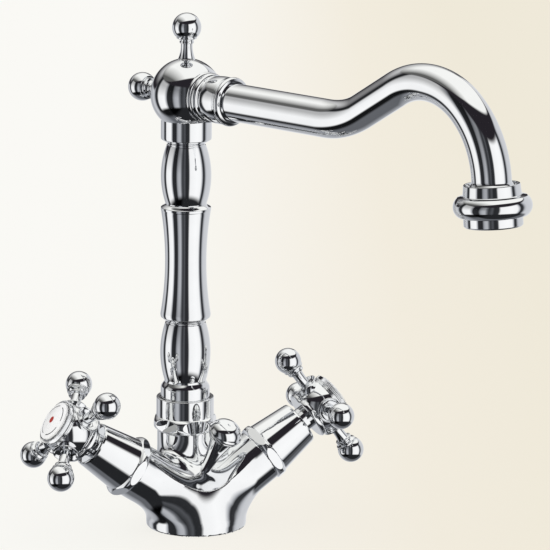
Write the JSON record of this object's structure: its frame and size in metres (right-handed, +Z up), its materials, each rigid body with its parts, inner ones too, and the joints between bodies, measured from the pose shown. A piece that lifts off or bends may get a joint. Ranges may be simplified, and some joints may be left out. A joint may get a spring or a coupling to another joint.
{
  "type": "bathroom mixer faucet",
  "caption": "Two-handle basin mixer faucet with a turned column, a swivelling swan-neck spout, cross handles on ceramic valves and a pull knob for the waste.",
  "frame": {"origin": "centre of the round base, on the deck face it stands on", "axes": "+Z up from the deck; the handles lie along X with hot at -X and cold at +X; the user stands at -Y; the column and the spout's axis stand 16 mm behind the origin, at +Y"},
  "size_m": [0.187, 0.243, 0.2638],
  "materials": {
    "chrome_plate": "polished chrome plate on brass",
    "bare_brass": "turned, unplated",
    "valve_ceramic": "lapped alumina",
    "porcelain": "white glaze with a ring and a coloured dot",
    "black_rubber": "moulded",
    "nylon": "moulded",
    "aerator_plastic": "moulded"
  },
  "bodies": {
    "base": {"mixer_body": "chrome_plate", "base_seal": "black_rubber", "swivel_nut": "chrome_plate", "popup_bush": "nylon", "hot_valve_body": "bare_brass", "hot_fixed_disc": "valve_ceramic", "hot_seat_seal": "black_rubber", "hot_sleeve": "chrome_plate", "cold_valve_body": "bare_brass", "cold_fixed_disc": "valve_ceramic", "cold_seat_seal": "black_rubber", "cold_sleeve": "chrome_plate"},
    "hot_handle": {"hot_moving_disc": "valve_ceramic", "hot_spindle": "bare_brass", "hot_stem_seal": "black_rubber", "hot_hub": "chrome_plate", "hot_spokes": "chrome_plate", "hot_screw": "bare_brass", "hot_bezel": "chrome_plate", "hot_index": "porcelain"},
    "cold_handle": {"cold_moving_disc": "valve_ceramic", "cold_spindle": "bare_brass", "cold_stem_seal": "black_rubber", "cold_hub": "chrome_plate", "cold_spokes": "chrome_plate", "cold_screw": "bare_brass", "cold_bezel": "chrome_plate", "cold_index": "porcelain"},
    "spout": {"column_foot": "chrome_plate", "swivel_bush": "nylon", "swivel_seals": "black_rubber", "column_shaft": "chrome_plate", "spout_head": "chrome_plate", "top_finial": "chrome_plate", "rear_finial": "chrome_plate", "spout_collar": "chrome_plate", "spout_tube": "chrome_plate", "spout_outlet": "chrome_plate", "aerator_washer": "black_rubber", "aerator_housing": "chrome_plate", "aerator_insert": "aerator_plastic"},
    "waste_knob": {"popup_knob": "chrome_plate", "popup_rod": "bare_brass"}
  },
  "joints": [
    {"name": "spout_swivel", "type": "hinge", "parent": "base", "child": "spout", "pos_m": [0, 0.016, 0.06], "axis": [0, 0, 1], "continuous": true},
    {"name": "hot_valve_turn", "type": "hinge", "parent": "base", "child": "hot_handle", "pos_m": [-0.06914, 0, 0.05638], "axis": [-0.8221, 0, 0.5693], "range_deg": [0, 90]},
    {"name": "cold_valve_turn", "type": "hinge", "parent": "base", "child": "cold_handle", "pos_m": [0.06914, 0, 0.05638], "axis": [0.8221, 0, 0.5693], "range_deg": [0, 90]},
    {"name": "waste_knob_lift", "type": "slide", "parent": "base", "child": "waste_knob", "axis": [0.2179, -0.4895, 0.8443], "range_m": [0, 0.012]}
  ]
}
